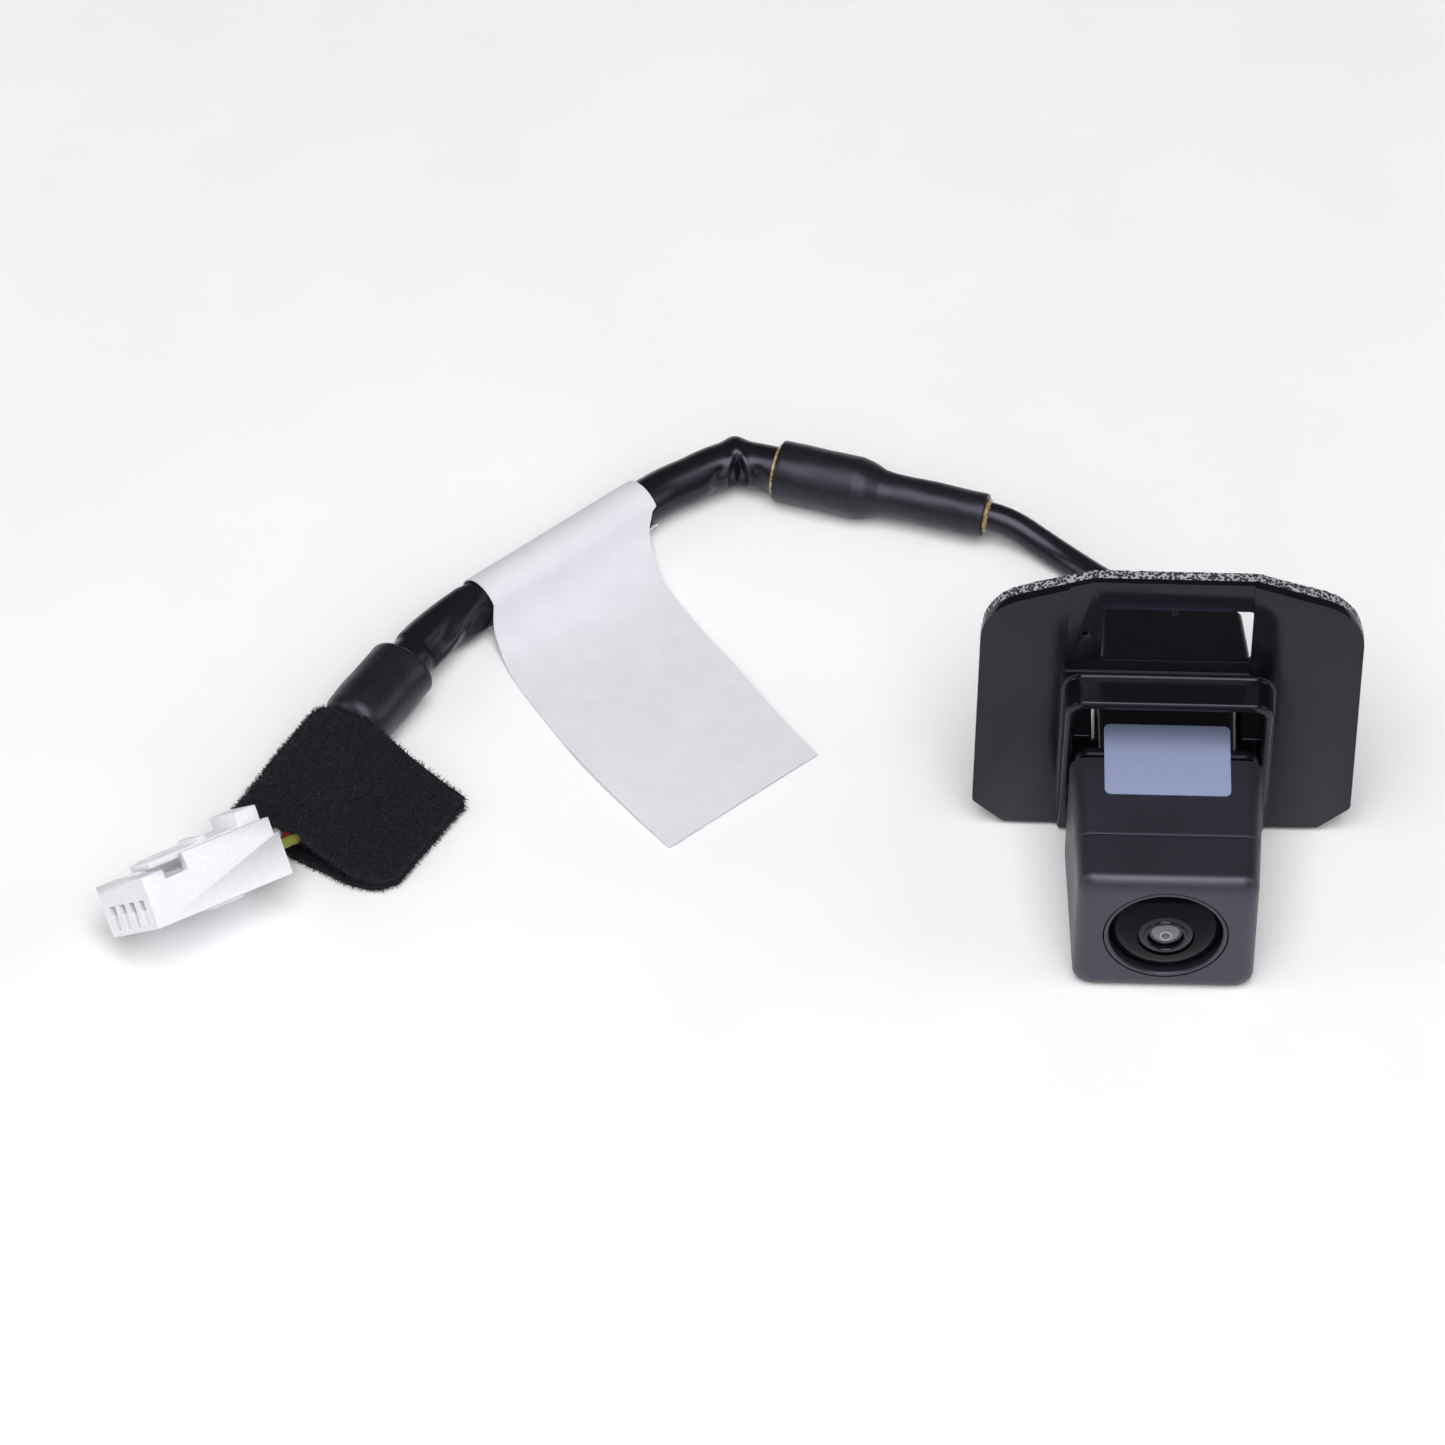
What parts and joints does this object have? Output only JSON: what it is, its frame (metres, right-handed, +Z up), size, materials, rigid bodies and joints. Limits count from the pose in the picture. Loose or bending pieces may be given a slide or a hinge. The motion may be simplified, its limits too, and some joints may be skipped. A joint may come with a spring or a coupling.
{
  "type": "backup camera",
  "caption": "Small black vehicle reversing camera on a hooded mounting plate with a foam gasket, and a pigtail with a label flag, loop tape and a white plug.",
  "frame": {"origin": "middle of the camera head's base, on the surface the head stands on", "axes": "-Y is the way the lens looks, +Z is up, so +X is to the right of someone facing the lens"},
  "size_m": [0.1691, 0.0986, 0.0483],
  "materials": {
    "gloss_black_abs": "moulded, glossy",
    "matte_black_plastic": "fine spark-eroded texture",
    "foam_tape": "open-cell foam, speckled grey",
    "steel": "bright zinc",
    "black_rubber": "satin",
    "heat_shrink": "matte",
    "sleeve_pvc": "glossy",
    "label_blue": "blue-grey film, blank",
    "lens_glass": "coated",
    "lens_black": "black anodised",
    "board": "solder mask",
    "chip_black": "moulded",
    "white_nylon": "satin, natural white",
    "white_film": "blank vinyl film",
    "amber_glue": "set hot-melt, glossy",
    "loop_tape": "black loop pile",
    "tin_brass": "tinned",
    "wire_black": "insulation",
    "wire_grey": "insulation",
    "wire_red": "insulation",
    "wire_olive": "insulation"
  },
  "bodies": {
    "camera": {"bracket": "gloss_black_abs", "rear_housing": "gloss_black_abs", "lens_shade": "gloss_black_abs", "lens_spacer": "gloss_black_abs", "front_housing": "matte_black_plastic", "foam_gasket": "foam_tape", "bracket_screw_left": "steel", "bracket_screw_right": "steel", "housing_screw_lower_left": "steel", "housing_screw_lower_right": "steel", "housing_screw_upper_left": "steel", "housing_screw_upper_right": "steel", "processor_shield": "steel", "housing_seal": "black_rubber", "lens_oring": "black_rubber", "rear_boot": "black_rubber", "cable_grommet": "black_rubber", "camera_cable": "black_rubber", "inner_cable": "black_rubber", "splice_shrink": "heat_shrink", "end_shrink": "heat_shrink", "harness_sleeve": "sleeve_pvc", "top_label": "label_blue", "front_lens": "lens_glass", "middle_lens": "lens_glass", "rear_lens": "lens_glass", "infrared_filter": "lens_glass", "lens_bezel": "lens_black", "lens_retainer": "lens_black", "lens_barrel": "lens_black", "sensor_board": "board", "processor_board": "board", "image_sensor": "chip_black", "board_header": "chip_black", "cable_socket": "white_nylon", "connector_housing": "white_nylon", "flag_label": "white_film", "glue_ring_camera_side": "amber_glue", "glue_ring_harness_side": "amber_glue", "glue_ring_end": "amber_glue", "loop_tape": "loop_tape", "terminal_1": "tin_brass", "terminal_2": "tin_brass", "terminal_3": "tin_brass", "terminal_4": "tin_brass", "wire_1": "wire_black", "wire_2": "wire_grey", "wire_3": "wire_red", "wire_4": "wire_olive"},
    "latch": {"latch_arm": "white_nylon"},
    "retainer": {"terminal_retainer": "white_nylon"}
  },
  "joints": [
    {"name": "latch_press", "type": "hinge", "parent": "camera", "child": "latch", "pos_m": [-0.13709, -0.02169, 0.0133], "axis": [-0.5621, 0.4486, -0.6949], "range_deg": [0, 4.5], "stiffness_Nm_per_rad": 0.02},
    {"name": "retainer_pull", "type": "slide", "parent": "camera", "child": "retainer", "axis": [0.3481, -0.6337, -0.6908], "range_m": [0, 0.001]}
  ]
}
